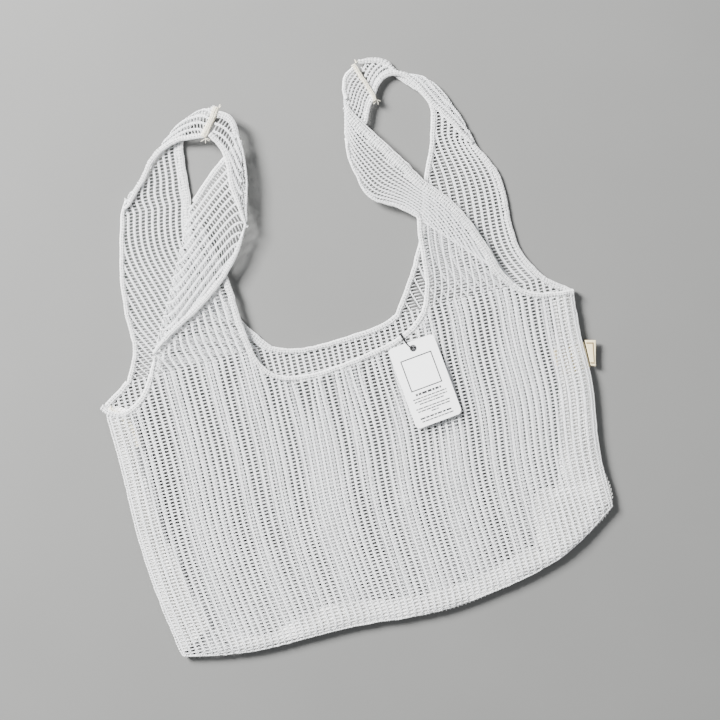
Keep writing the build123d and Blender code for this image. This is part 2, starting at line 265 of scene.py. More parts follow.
# --- threads as mesh
class Threads:
    """Collects round threads and makes one mesh of them."""

    def __init__(self):
        self.verts, self.faces, self.slots, self.uvs, self.count = [], [], [], [], 0
        self.area, self.flat = 0.0, (0.0, 0.0)

    def add(self, points, across, up, radius, sides, alive=None, slot=0, flat=1.0):
        """Threads (m, n, 3) with frames; alive (m, n-1) says which stretches are there."""
        m, n = points.shape[:2]
        if alive is None:
            alive = np.ones((m, n - 1), bool)
        if not alive.any():
            return
        angle = 2 * math.pi * (np.arange(sides) + 0.5) / sides
        radius = np.broadcast_to(np.asarray(radius, float), (m, n))[:, :, None, None]
        ring = points[:, :, None, :] + radius * (np.cos(angle)[:, None] * across[:, :, None, :]
                                                  + flat * np.sin(angle)[:, None] * up[:, :, None, :])
        index = np.arange(m * n * sides).reshape(m, n, sides)
        a, b = index[:, :-1], index[:, 1:]
        quads = np.stack([a, b, np.roll(b, -1, 2), np.roll(a, -1, 2)], axis=-1)[alive].reshape(-1, 4)
        u = (np.arange(n - 1) % 16 / 16)[None, :, None] + np.zeros((m, 1, sides))
        v = (np.arange(sides) / sides)[None, None, :] + np.zeros((m, n - 1, 1))
        du, dv = 1 / 16, 1 / sides
        quad_uv = np.stack([np.stack([u, v], -1), np.stack([u + du, v], -1), np.stack([u + du, v + dv], -1),
                            np.stack([u, v + dv], -1)], axis=-2)[alive].reshape(-1, 2)
        before = np.concatenate([np.zeros((m, 1), bool), alive], axis=1)
        after = np.concatenate([alive, np.zeros((m, 1), bool)], axis=1)
        starts, ends = index[after & ~before], index[before & ~after][:, ::-1]
        used = np.zeros(m * n * sides, bool)
        used[quads.ravel()] = True
        place = np.cumsum(used) - 1
        self.verts.append(ring.reshape(-1, 3)[used])
        cap_uv = 0.5 + 0.02 * np.stack([np.cos(angle), np.sin(angle)], -1)
        for faces in (quads, starts, ends):
            if len(faces):
                self.uvs.append(quad_uv if faces is quads else np.tile(cap_uv, (len(faces), 1)))
                self.faces.append(place[faces] + self.count)
                self.slots.append(np.full(len(faces), slot))
        self.count += int(used.sum())

    def object(self, name, *materials, rides=None, blends=None, replaces=(), slot=None):
        """The mesh of all the threads, with its body."""
        mesh = bpy.data.meshes.new(name)
        verts = np.concatenate(self.verts) * MM
        mesh.vertices.add(len(verts))
        mesh.vertices.foreach_set("co", verts.ravel())
        corners = np.concatenate([f.ravel() for f in self.faces])
        sizes = np.concatenate([np.full(len(f), f.shape[1]) for f in self.faces])
        mesh.loops.add(len(corners))
        mesh.loops.foreach_set("vertex_index", corners.astype(np.int32))
        mesh.polygons.add(len(sizes))
        mesh.polygons.foreach_set("loop_start", np.concatenate([[0], np.cumsum(sizes)[:-1]]).astype(np.int32))
        mesh.polygons.foreach_set("material_index", np.concatenate(self.slots).astype(np.int32))
        mesh.polygons.foreach_set("use_smooth", np.ones(len(sizes), bool))
        uv = mesh.uv_layers.new(name="OFBake")
        uv.uv.foreach_set("vector", np.concatenate(self.uvs).ravel().astype(np.float32))
        mesh.update(calc_edges=True)
        for material in materials:
            mesh.materials.append(material)
        piece = add_object(name, mesh)
        attach(piece, rides, blends, replaces)


def attach(piece, rides=None, blends=None, replaces=()):
    """Say which body a piece rides on, or bake its place where it blends, and hide the CAD nodes it stands for."""
    if blends:
        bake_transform(piece)
    else:
        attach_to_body(piece, rides)
    if replaces:
        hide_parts(*replaces)


# --- net over a surface given as a grid
class Surface:
    """A smooth surface: grid (ns, nf, 3) in mm, with s along the wales and f across them."""

    def __init__(self, grid):
        self.grid = grid
        self.ds = np.gradient(grid, axis=0)
        self.df = np.gradient(grid, axis=1)

    def at(self, s, f, what=None):
        """Values at s and f from 0 to 1."""
        grid = self.grid if what is None else what
        ns, nf = grid.shape[:2]
        i, j = np.clip(s, 0, 1) * (ns - 1), np.clip(f, -0.2, 1.2) * (nf - 1)
        i0, j0 = np.clip(i.astype(int), 0, ns - 2), np.clip(j.astype(int), 0, nf - 2)
        i, j = (i - i0)[..., None], (j - j0)[..., None]
        return (grid[i0, j0] * (1 - i) + grid[i0 + 1, j0] * i) * (1 - j) \
            + (grid[i0, j0 + 1] * (1 - i) + grid[i0 + 1, j0 + 1] * i) * j

    def frame(self, s, f):
        """Place, direction along the wale, across it and out of the surface."""
        along = unit(self.at(s, f, self.ds))
        side = self.at(s, f, self.df)
        across = unit(side - along * (side * along).sum(-1, keepdims=True))
        return self.at(s, f), along, across, np.cross(along, across)


def knit(surface, lines, allowed, threads, rows_from=0.0, phase=0.0, thin=1.0, pitch=WALE, flat=1.0, bar=1.0):
    """Net on a surface, shared out over the threads.

    lines (wales, samples) gives each wale's f along s; allowed(points, s, f) clips it. thin scales the yarn, flat
    its thickness, bar the crossbars; pitch is the wales' spacing in the flat cloth."""
    wales, samples = lines.shape
    s_fine = np.linspace(0, 1, samples)
    spots = surface.at(np.broadcast_to(s_fine, lines.shape), lines)
    steps = np.linalg.norm(np.diff(spots, axis=1), axis=2)
    arc = np.concatenate([np.zeros((wales, 1)), np.cumsum(steps, axis=1)], axis=1)
    step = ROW / STEPS
    count = int(arc[:, -1].max() / step) + 1
    where = rows_from + np.arange(count) * step
    s = np.stack([np.interp(where, a, s_fine) for a in arc])
    over = where[None, :] > arc[:, -1:]
    f = np.stack([np.interp(row, s_fine, line) for row, line in zip(s, lines)])
    place, along, across, up = surface.frame(s, f)
    ok = allowed(place, s, f) & ~over
    alive = ok[:, 1:] & ok[:, :-1]
    turn = 2 * math.pi * (np.arange(count) / (2 * STEPS))[None, :] + np.arange(wales)[:, None] * 0.7 + phase
    cut = np.linspace(0, wales, len(threads) + 1).astype(int)
    for part, (first, last) in enumerate(zip(cut[:-1], cut[1:])):
        pick = slice(first, last)
        threads[part].area += alive[pick].sum() * step * pitch * MM ** 2
        threads[part].flat = ((last - first) * pitch * MM, (alive[pick].any(axis=0).sum() + 1) * step * MM)
        for strand in range(3):
            angle = (turn[pick] + strand * 2 * math.pi / 3)[..., None]
            middle = place[pick] + across[pick] * PLAIT * thin * np.sin(angle) \
                + up[pick] * PLAIT_DEPTH * np.sin(2 * angle)
            threads[part].add(middle, across[pick], up[pick], STRAND * thin, 5, alive[pick], flat=flat)
        # crossbars from each wale of the part to the next
        pairs = np.arange(first, min(last, wales - 1))
        if not len(pairs):
            continue
        knots = np.arange(STEPS // 2, count, STEPS)
        share = np.linspace(0.13, 0.87, 4)[None, None, :]
        a, b = np.ix_(pairs, knots), np.ix_(pairs + 1, knots)
        s_bar = s[a][..., None] * (1 - share) + s[b][..., None] * share
        f_bar = f[a][..., None] * (1 - share) + f[b][..., None] * share
        gone = (over[a] | over[b])[..., None]
        spot, run, side, out = surface.frame(s_bar, f_bar)
        ok_bar = allowed(spot, s_bar, f_bar) & ~gone
        live = (ok_bar[..., 1:] & ok_bar[..., :-1]).reshape(-1, 3)
        jitter = RNG.normal(0, 0.10, (len(pairs), len(knots), 1, 1))
        for way in (-1, 1):
            sway = (way * BAR_GAP * (1 + 0.35 * np.cos(2 * math.pi * share)))[..., None]
            line = (spot + run * (sway + jitter) + out * way * 0.12).reshape(-1, 4, 3)
            threads[part].add(line, run.reshape(-1, 4, 3), out.reshape(-1, 4, 3), BAR * thin * bar, 4, live, flat=flat)
    return threads


# --- the panels
left_line, right_line = spline(LEFT_SIDE), spline(RIGHT_SIDE)
bottom_line = spline(BOTTOM)
rim = np.concatenate([left_line, bottom_line, right_line])


def side_x(line, y):
    """Where a side seam lies at a height."""
    order = np.argsort(line[:, 1])
    return np.interp(y, line[order, 1], line[order, 0])


def nearest(points, line):
    """For each point (n, 2): which point of a line is nearest, and how far it is."""
    index, gap = np.empty(len(points), int), np.empty(len(points))
    for start in range(0, len(points), 20000):
        part = slice(start, start + 20000)
        apart = ((points[part, None] - line[None]) ** 2).sum(-1)
        index[part], gap[part] = apart.argmin(1), np.sqrt(apart.min(1))
    return index, gap


def panel_surface(level, seed, gather):
    """A panel's surface: its net follows both sides, and its rim comes down or up to the side seams."""
    ns, nf = 360, 260
    y = np.linspace(ROOT, LOW_Y, ns)[:, None] * np.ones((1, nf))
    f = np.ones((ns, 1)) * np.linspace(0, 1, nf)[None, :]
    x_left = side_x(left_line, np.clip(y, LEFT_SIDE[-1][1], LEFT_SIDE[0][1]))
    x_right = side_x(right_line, np.clip(y, RIGHT_SIDE[0][1], RIGHT_SIDE[-1][1]))
    fade = np.clip((ROOT - 4 - y) / 40, 0, 1)
    middle = np.clip(np.minimum(f, 1 - f) * 14, 0, 1)
    x = x_left + f * (x_right - x_left) + wavy(f * 500, y, seed, (90, 700), 0.9) * fade * middle
    yy = y + wavy(f * 500, y, seed + 1, (170, 330), 1.2) * fade
    z = level + wavy(x, y, seed + 2, (70, 160), 0.45) * fade
    if gather:
        # soft pleats that fan down from the gathered left part of the neckline
        reach = np.exp(-((y + 18) / 52) ** 2) * np.exp(-((x + 15) / 62) ** 2)
        fan = (x + 15) / (1 + (-y) / 190)
        z = z + gather * reach * np.sin(fan / 3.1)
        x = x + 2.6 * reach * np.sin(fan / 5.2 + 1.2) - 0.10 * (x + 15) * reach
    gap = nearest(np.stack([x.ravel(), y.ravel()], 1), rim[::3])[1].reshape(x.shape)
    curl = np.exp(-(gap / 4.5) ** 2)
    z = z + (SEAM_MID - z) * curl * 0.75
    return Surface(np.stack([x, yy, z], axis=-1))


def in_outline(outline, margin_lines):
    """A clip for knit: inside an outline, and clear of each line by its margin."""
    def allowed(points, s, f):
        flat = points[..., :2].reshape(-1, 2)
        good = inside(flat, outline)
        for line, margin in margin_lines:
            kept = np.flatnonzero(good)
            good[kept] = nearest(flat[kept], line[::3])[1] > margin
        return good.reshape(points.shape[:-1])
    return allowed


def panel_net(name, level, seed, wales, arms, neck, gather):
    """A panel's net, in parts side by side; returns where its wales go on into the straps."""
    surface = panel_surface(level, seed, gather)
    outline = np.concatenate([rim, spline(arms[1]), spline(neck), spline(arms[0])])
    f = (np.arange(wales) + 0.5) / wales
    lines = np.repeat(f[:, None], 700, axis=1)
    margin = ((spline(neck), 3.0), (spline(arms[0]), 3.0), (spline(arms[1]), 3.0), (bottom_line, 0.8))
    parts = [Threads() for _ in range(PANEL_PARTS)]
    knit(surface, lines, in_outline(outline, margin), parts, phase=seed, pitch=PANEL_NET / wales)
    for number, part in enumerate(parts, 1):
        part.object(f"{name}_net_{number}", NET, rides="bag", replaces=[f"{name}_panel"] if number == 1 else (),
                    slot="net")
    return surface.at(np.zeros(wales), f)


front_roots = panel_net("front", FRONT_Z, 11, 68, (FRONT_LEFT_ARM, FRONT_RIGHT_ARM), FRONT_NECK, 0.8)
back_roots = panel_net("back", BACK_Z, 31, 79, (BACK_LEFT_ARM, BACK_RIGHT_ARM), BACK_NECK, 0.0)


# --- the straps
RUN_SAMPLES = 150   # along each run of a strap


def strap_surface(strap, nf=33):
    """A strap's surface from the rails of its runs, its real width and the width its wales are spread over."""
    rows, real = [], []
    for number, (neck, arm) in enumerate(strap["rails"]):
        low, high = strap["levels"][number]
        guide = strap.get("guides", {}).get(number, arm)
        a, b = spline(neck, count=RUN_SAMPLES), spline(guide, count=RUN_SAMPLES)
        z = low + (high - low) * np.linspace(0, 1, RUN_SAMPLES) ** 3
        run = unit(np.gradient((a + b) / 2, axis=0))
        gap = b - a
        width = np.abs(gap[:, 0] * run[:, 1] - gap[:, 1] * run[:, 0])
        share = np.linspace(0, 1, nf)[None, :, None]
        if number in strap.get("rolled", {}):
            # down to the line of the roll and back over it, at a higher level
            line, top = strap["rolled"][number]
            m = spline(line, count=RUN_SAMPLES)
            first, second = np.linalg.norm(m - a, axis=1), np.linalg.norm(b - m, axis=1)
            width = first + second
            cut = (first / width)[:, None]
            f = np.broadcast_to(share[..., 0], (RUN_SAMPLES, nf))
            t1 = np.clip(f / np.maximum(cut, 1e-6), 0, 1)[..., None]
            t2 = np.clip((f - cut) / np.maximum(1 - cut, 1e-6), 0, 1)[..., None]
            flat = np.where(f[..., None] > cut[..., None], m[:, None] * (1 - t2) + b[:, None] * t2,
                            a[:, None] * (1 - t1) + m[:, None] * t1)
            height = z[:, None] + (top - low) * np.clip((f - cut) * width[:, None] / 3.0 + 0.5, 0, 1)
            block = smooth(np.concatenate([flat, height[..., None]], axis=-1), 0.8, axis=1)
        else:
            flat = a[:, None] * (1 - share) + b[:, None] * share
            block = np.concatenate([flat, np.broadcast_to(z[:, None, None], (RUN_SAMPLES, nf, 1))], axis=-1)
        rows.append(block[1:] if number else block)
        real.append(width[1:] if number else width)
    real = np.maximum(smooth(np.concatenate(real), 14), 5)
    spread = real
    if "narrow" in strap:
        spread = real / spread_out(strap["narrow"], len(real))
    if "spread" in strap:
        spread = smooth(spread_out(strap["spread"], len(real)), 12)
    return Surface(smooth(np.concatenate(rows), 1.6)), real, spread


def beside(points, line, inward):
    """How far points (n, 2) lie to one side of a line, the left side if inward is 1."""
    near = nearest(points, line)[0]
    run = unit(np.gradient(line, axis=0))
    gap = points - line[near]
    return inward * (run[near, 0] * gap[:, 1] - run[near, 1] * gap[:, 0])


def inward_side(rail, other):
    """1 if the other rail lies to the left of this one, or -1."""
    rail, other = spline(rail, count=9), spline(other, count=9)
    run, to = rail[5] - rail[3], other[4] - rail[4]
    return 1 if run[0] * to[1] - run[1] * to[0] > 0 else -1


def strap_net(key, strap, roots):
    """A strap's net: wales keep their distance from one side and end under the hem of the other."""
    surface, real, spread = strap_surface(strap)
    fine = np.linspace(0, 1, 1200)
    along = np.linspace(0, 1, len(real))
    spread = np.interp(fine, along, spread)
    # the wales that the panel leads into it, as distances from its neck side
    neck_x, arm_x = (rail[0][0] for rail in strap["rails"][0])
    starts = np.sort([abs(x - neck_x) for x in roots[:, 0] if (x - neck_x) * (x - arm_x) < 0])
    if "pitch" in strap:
        # the wales keep the panel's pitch beside the armhole and stand wider apart towards the neck
        step = np.arange(40)
        starts = starts[-1] - strap["pitch"] * step * (1 + 0.022 * step)
        starts = np.sort(starts[starts > 1])
    if strap.get("anchor") == "arm":
        lines = 1 - (spread[0] - starts[:, None]) / spread[None, :]
    else:
        lines = starts[:, None] / spread[None, :]

    def allowed(points, s, f):
        w = np.interp(s, along, real)
        good = f * w > HEM_COVER
        run = np.clip(s * len(strap["rails"]), 0, len(strap["rails"]) - 1e-6).astype(int)
        for number, (neck, arm) in enumerate(strap["rails"]):
            here = run == number
            if number in strap.get("guides", {}):
                good[here] &= beside(points[here][:, :2], spline(arm), inward_side(arm, neck)) > HEM_COVER
            else:
                good[here] &= ((1 - f) * w > HEM_COVER)[here]
        return good

    parts = [Threads() for _ in range(STRAP_PARTS)]
    knit(surface, lines, allowed, parts, thin=strap.get("thin", 1.0), pitch=strap.get("cut_pitch", WALE))
    body = key.split("_")[0] + "_handle"
    for number, part in enumerate(parts, 1):
        part.object(f"{key}_net_{number}", NET, blends=body, replaces=[key] if number == 1 else (), slot="net")


def crossing(points, y):
    """Where a curve first passes a height."""
    line = spline(points)
    k = np.nonzero(np.diff(np.sign(line[:, 1] - y)))[0]
    return line[k[0], 0] if len(k) else line[np.argmin(np.abs(line[:, 1] - y)), 0]


LF_NECK_X, LF_ARM_X = -93.0, crossing(FRONT_LEFT_ARM, ROOT)
LB_NECK_X, LB_ARM_X = crossing(BACK_NECK[::-1], ROOT), -231.0
RF_NECK_X, RF_ARM_X = crossing(FRONT_NECK, ROOT), crossing(FRONT_RIGHT_ARM[::-1], ROOT)
RB_NECK_X, RB_ARM_X = crossing(BACK_NECK, ROOT), crossing(BACK_RIGHT_ARM[::-1], ROOT)
# Each strap: the rails of its runs (neck side, armhole side), their levels at both ends, the runs before a fold, the
# hem widths of both sides, guides for wales where the armhole hem cuts them off, and rolled-over runs with the line
# and the top of the roll. trim shortens hems at folds by shares of their width; entry and taper thin an armhole hem
# after and before a fold; anchor, spread, narrow and pitch lay out the wales.
STRAPS = {
    "left_front_strap": dict(
        rails=[([(LF_NECK_X, ROOT), (-97.5, 60), (-99, 95), (-106, 132), (-118.5, 189.5)],
                [(LF_ARM_X, ROOT), (-200, 34), (-195.5, 43.5)]),
               ([(-118.5, 189.5), (-99.5, 207.5), (-71.5, 229.5), (-52, 241.5)],
                [(-195.5, 43.5), (-169.5, 60.5), (-148.5, 72), (-101.5, 105.5), (-80.9, 129), (-70.5, 147.5)]),
               ([(-52, 241.5), (-51.8, 254), (-53.3, 262), (-58.8, 270), (-66.5, 275.5)],
                [(-69.5, 149), (-73, 176.5), (-75, 195.5), (-74.5, 233.5), (-84.5, 252.5)])],
        guides={1: [(-195.5, 43.5), (-148.5, 69), (-107, 92), (-72, 112)],
                2: [(-72, 112), (-120.6, 194.8)]},
        levels=[(9.3, 9.3), (12.4, 12.4), (15.4, 13.6)], folds=(0, 1), hems=((7, 7, 7), (6.5, 6.5, 6.5)),
        entry=0.7, taper=0.6),
    "left_back_strap": dict(
        rails=[([(LB_NECK_X, ROOT), (-98.5, 60), (-113, 105), (-126, 150), (-118.5, 192.5)],
                [(LB_ARM_X, ROOT), (-215.5, 60), (-215.5, 76.5), (-207.5, 149.5), (-198.5, 182.5), (-195, 195)]),
               ([(-118.5, 192.5), (-115, 235), (-108, 262), (-69.5, 275)],
                [(-195, 195), (-186.5, 199.5), (-174, 211.5), (-159, 227), (-142.5, 245), (-130, 251.5), (-117, 255),
                 (-98.5, 253.5), (-86, 252)])],
        rolled={1: ([(-195, 195), (-185, 212), (-170, 223), (-153, 237.5), (-135, 257), (-126.5, 264), (-105.5, 277.5),
                     (-90, 282), (-79, 282.5), (-69.5, 278)], 3.9)},
        levels=[(1.7, 1.7), (1.7, 9.0)], folds=(0,), hems=((8, 8), (5.5, 5.5)), trim=(0.3, 0.1)),
    "right_front_strap": dict(
        rails=[([(RF_NECK_X, ROOT), (97.5, 41.5), (102.5, 74.5), (104.5, 99.5), (107.5, 117.5)],
                [(RF_ARM_X, ROOT), (188, 30)]),
               ([(107.5, 117.5), (91.5, 131.5)],
                [(188, 30), (182, 40), (176.5, 58.5), (165.5, 90.5), (157.5, 109.5), (124.5, 153.5)]),
               ([(91.5, 131.5), (79.5, 138.5), (65.5, 147.5), (56.5, 170.5), (52.5, 195.5), (54.5, 217.5)],
                [(124.5, 153.5), (102.5, 190.5), (79.5, 224.5), (67.5, 245.5), (63.5, 253.5)]),
               ([(54.5, 217.5), (79.5, 224.5), (89.5, 243.5), (95.5, 249.5)],
                [(63.5, 253.5), (64.5, 268.5), (69.5, 280.5), (82.5, 289.5)])],
        levels=[(9.3, 9.3), (9.3, 9.3), (9.3, 9.3), (6.4, 6.0)], folds=(2,), hems=((6, 5, 3.5, 5), (6, 9, 12, 4.5)),
        anchor="arm", spread=(104, 104, 102, 74, 74), thin=0.72, trim=(0.3, 0.75), taper=0.55, cut_pitch=6.0),
    "right_back_strap": dict(
        rails=[([(RB_NECK_X, ROOT), (91.5, 69.5), (111.5, 111.5), (124.5, 153.5), (138.5, 185.5), (145, 207)],
                [(RB_ARM_X, ROOT), (206, 60), (204.5, 103.5), (202.5, 145.5), (188.5, 174.5)]),
               ([(145, 207), (149.5, 229.5), (132, 256), (121.5, 268), (113.5, 281.5), (87.5, 288.5)],
                [(188.5, 174.5), (181, 181), (166, 206), (151, 230), (122.5, 268.0), (113.5, 268.5), (101.5, 260.5),
                 (95.5, 249.5)])],
        rolled={1: ([(188.5, 174.5), (184.5, 191.5), (167.5, 239.5), (149.5, 261.5), (126.5, 270.5), (113.5, 281.5),
                     (87.5, 288.5)], 3.9)},
        levels=[(1.7, 1.7), (1.7, 4.0)], folds=(0,), hems=((6, 6), (6, 6)), trim=(0.3, 0.1), anchor="arm",
        narrow=(1.0, 0.84, 0.8), pitch=6.6),
}

for key, strap in STRAPS.items():
    strap_net(key, strap, front_roots if "front" in key else back_roots)


# --- hems
EDGE_CORD, CORD, OVERLOCK = 0.62, 0.34, 0.32    # radii of a hem's threads


def hem_band(threads, path, inward, width, pitch=3.0, thick=1.0, core=True, seed=0, cords=(0.30, 0.62)):
    """A rolled hem beside an edge: a flat core, an edge cord and overlock thread wound round both."""
    rng = np.random.default_rng(100 + seed)
    n = len(path)
    width = np.broadcast_to(np.asarray(width, float), n)[:, None]
    along = unit(np.gradient(path, axis=0))
    up = np.broadcast_to([0.0, 0.0, 1.0], path.shape)
    side = unit(inward * np.cross(up, along))
    arc = lengths(path)

    def wander(reach, size):
        return smooth(rng.normal(0, 1, n), reach)[:, None] * size * math.sqrt(reach)

    base = path + side * wander(5, 0.35) + up * wander(8, 0.14)
    swell = 1 + wander(4, 0.10)[:, 0]
    if core:
        # the core takes the second material; for the white hems that is a grey which is painted shade
        half = width[:, 0] * 0.33 * swell
        threads.add((base + side * width * 0.60)[None], side[None], up[None], half[None], 10, slot=1,
                    flat=0.85 * thick / half.mean())
    threads.add((base + side * 0.8)[None], side[None], up[None], (EDGE_CORD * swell)[None], 7)
    for share in cords:
        cord = base + side * (width * share + wander(3, 0.25)) + up * 0.98 * thick
        threads.add(cord[None], side[None], up[None], CORD, 5)
    # overlock thread: two spirals of opposite hand, and a looser one
    for hand, turn in ((1, 1.0), (-1, 1.0), (1, 0.71)):
        count = int(arc[-1] / pitch * turn * 12)
        if count < 8:
            continue
        where = np.linspace(0, arc[-1], count)
        warp = np.interp(where, arc, wander(5, 0.9)[:, 0])
        theta = 2 * math.pi * where / pitch * turn + warp + hand
        mid, s_at, u_at, w_at = (
            np.stack([np.interp(where, arc, values[:, i]) for i in range(values.shape[1])], axis=1)
            for values in (base, side, up, width * swell[:, None]))
        c, d = np.cos(theta)[:, None], np.sin(theta)[:, None] * hand
        line = mid + s_at * (w_at / 2 + (w_at / 2 - 0.1) * c) + u_at * (1.16 * thick * d)
        out = unit(s_at * c * 0.3 + u_at * d)
        way = unit(np.gradient(line, axis=0))
        across = unit(np.cross(way, out))
        threads.add(line[None], across[None], np.cross(across, way)[None], OVERLOCK, 4)


def level_path(points, low, high, step=0.5):
    """A curve in the plane, rising from one level to another."""
    flat = spline(points, step)
    z = low + (high - low) * np.linspace(0, 1, len(flat)) ** 3
    return np.concatenate([flat, z[:, None]], axis=1)


def panel_hem(name, points, level, inward, node, number, width):
    """A hem along a panel's edge, as far up as the strap roots, ending in the side seams."""
    path = level_path(points, level, level)
    path = path[path[:, 1] < ROOT + 1.5]
    gap = nearest(path[:, :2], rim[::3])[1]
    path[:, 2] += (SEAM_MID - path[:, 2]) * np.exp(-(gap / 6) ** 2) * 0.6
    threads = Threads()
    hem_band(threads, path, inward, smooth(spread_out(width, len(path)), 20), seed=number)
    threads.object(name, HEM_THREAD, SHADED_HEM_CORE, rides="bag", replaces=[node], slot="hem")


for number, (name, points, level, inward, node, width) in enumerate((
        ("front_neck_hem_yarn", FRONT_NECK, FRONT_Z + 0.2, 1, "front_neck_hem", (6.5, 6.5, 6, 5.5, 5)),
        ("front_left_armhole_hem_yarn", FRONT_LEFT_ARM, FRONT_Z + 0.2, 1, "front_left_armhole_hem", (6.5, 6.5)),
        ("front_right_armhole_hem_yarn", FRONT_RIGHT_ARM, FRONT_Z + 0.2, 1, "front_right_armhole_hem", (5.5, 6)),
        ("back_neck_hem_yarn", BACK_NECK, BACK_Z + 0.1, 1, "back_neck_hem", (6.5, 6.5, 5.5, 5.5, 6.5)),
        ("back_left_armhole_hem_yarn", BACK_LEFT_ARM, BACK_Z + 0.1, 1, "back_left_armhole_hem", (6.5, 6.5)),
        ("back_right_armhole_hem_yarn", BACK_RIGHT_ARM, BACK_Z + 0.1, 1, "back_right_armhole_hem", (6.5, 6.5)))):
    panel_hem(name, points, level, inward, node, number, width)


ONWARD = slice(1, 40)   # samples of a roll's line that the hem before it goes on along
ROLL_START = 14         # samples of a rolled hem that are left out where it comes in


def strap_hems(key, strap, seed):
    """Both hems of a strap, piece by piece between its folds."""
    rolled, levels = strap.get("rolled", {}), strap["levels"]
    for which, label in enumerate(("neck", "arm")):
        threads = Threads()
        runs = strap["rails"]
        group, start = [], 0
        for number, rails in enumerate(runs):
            low, high = levels[number]
            rest = rolled[number][1] - low if which and number in rolled else 0.0
            path = level_path(rails[which], low + rest + 0.15, high + rest + 0.15)
            group.append((path, np.full(len(path), float(strap["hems"][which][number]))))
            turned = number in strap["folds"] and not (which == 0 and number + 1 in rolled)
            if not turned and number + 1 < len(runs):
                continue
            if which and turned and number + 1 in rolled:
                # the hem goes on along the outline, where the roll starts
                onward = level_path(rolled[number + 1][0], high + 0.15, high + 1.4)[ONWARD]
                group.append((onward, group[-1][1][-1] * np.linspace(1, 0.2, len(onward))))
            path, width = (np.concatenate([one[min(i, 1):] for i, one in enumerate(each)]) for each in zip(*group))
            path, width = smooth(path, 3), smooth(width, 16)
            index = np.arange(len(width))
            if which and start in rolled:
                # a rolled-over hem comes in from the roll, where it starts
                width = width * (1 - 0.7 * np.exp(-index / 30))
            if which and start:
                width = width * (1 - strap.get("entry", 0) * np.exp(-index / 40))
            if which and turned:
                width = width * (1 - strap.get("taper", 0) * np.exp(-index[::-1] / 40))
            trim = strap.get("trim", (0.3, 0.3))[which]
            first = int(2 * trim * width[0]) if start else 0
            if which and start in rolled:
                first = ROLL_START
            last = len(path) - int(2 * trim * width[-1]) if turned else len(path)
            line = path[first:last].copy()
            index = np.arange(len(line))
            if start:
                drop = (levels[start - 1][1] - levels[start][0]) / 2
                line[:, 2] += drop * np.exp(-(index / 8) ** 2)
            if turned:
                drop = (levels[number + 1][0] - high) / 2
                line[:, 2] += drop * np.exp(-((len(line) - 1 - index) / 8) ** 2)
            other = rolled[number][0] if number in rolled else rails[1 - which]
            hem_band(threads, line, inward_side(rails[which], other), width[first:last],
                     seed=seed + number + 10 * which)
            group, start = [], number + 1
        threads.object(f"{key}_{label}_hem_yarn", HEM_THREAD, SHADED_HEM_CORE, blends=key.split("_")[0] + "_handle",
                       replaces=[f"{key}_{label}_hem"], slot="hem")


for seed, (key, strap) in enumerate(STRAPS.items()):
    strap_hems(key, strap, 200 + 30 * seed)


# the net's folded edge, where the left front strap turns over
FOLD_EDGE = [(-51.2, 240), (-52.1, 218), (-56.4, 191.5), (-62, 170.5), (-69, 150), (-74.5, 140)]
fold = Threads()
hem_band(fold, level_path(FOLD_EDGE, 14.0, 14.0), -1, 2.6, pitch=2.4, thick=1.2, core=False, seed=90, cords=(0.5,))
fold.object("left_front_fold_yarn", HEM_THREAD, blends="left_handle", slot="hem")


# --- side and bottom seams
def seam_net(name, rim_line, inner_line, wales_along, nodes, seed, z=SEAM_LEVELS):
    """The seam allowances inside the bag: two layers of net from the seam inwards, with an overlocked edge."""
    ns = 220
    outer, inner = spline(rim_line, count=ns), spline(inner_line, count=ns)
    nf = 16
    share = np.linspace(0, 1, nf)[None, :, None]
    flat = outer[:, None] * (1 - share) + inner[:, None] * share
    depth = np.linalg.norm(inner - outer, axis=1)
    for layer, level in enumerate(z):
        rise = SEAM_MID + (level - SEAM_MID) * (1 - np.exp(-(share[..., 0] * depth[:, None] / 5) ** 2))
        rise = rise + wavy(flat[..., 0], flat[..., 1], seed + layer, (60, 60), 0.25)
        grid = np.concatenate([flat, rise[..., None]], axis=-1)
        threads = Threads()
        if wales_along:
            surface = Surface(grid)
            starts = np.arange(2.0 + 3.0 * layer, depth.max(), SEAM_WALE)
            lines = starts[:, None] / spread_out(depth, 500)[None, :]
        else:
            surface = Surface(np.swapaxes(grid, 0, 1))
            count = int(lengths(outer)[-1] / SEAM_WALE)
            lines = np.repeat(((np.arange(count) + 0.3 + 0.45 * layer) / count)[:, None], 60, axis=1)
        knit(surface, lines, lambda p, s, f: (f >= 0) & (f <= 0.985) & (s <= 0.99), [threads],
             rows_from=1.2 + 1.6 * layer, pitch=SEAM_WALE, flat=0.5, bar=1.9)
        threads.object(f"{name}_{layer + 1}", ALLOWANCE, rides="bag", replaces=() if layer else nodes,
                       slot="seam_allowance")
    # the overlocked inner edge of both layers
    edge = Threads()
    path = level_path(inner_line, z[1] - 1.2, z[1] - 1.2)
    hem_band(edge, path, inward_side(inner_line, rim_line), 4.6, pitch=2.6, thick=1.5, core=False, seed=seed + 40,
             cords=(0.5,))
    edge.object(f"{name}_overlock", HEM_THREAD, rides="bag", slot="seam_allowance")


seam_net("left_allowance", LEFT_SIDE, LEFT_SEAM_IN[::-1], True, ["left_side_seam"], 5)
seam_net("right_allowance", RIGHT_SIDE[::-1], RIGHT_SEAM_IN, True, ["right_side_seam"], 7)
seam_net("bottom_allowance", BOTTOM[1:6] + [(150, -271)], BOTTOM_SEAM_IN[::-1], False, ["bottom_seam"], 9)
seam_net("corner_allowance", [(150, -271), (175, -264), (208, -247), (235, -227), (236.5, -190)],
         [(149.5, -245), (150, -220), (158.5, -194.5), (170, -193), (181.5, -199.5)], False, [], 13, (4.6, 7.5))

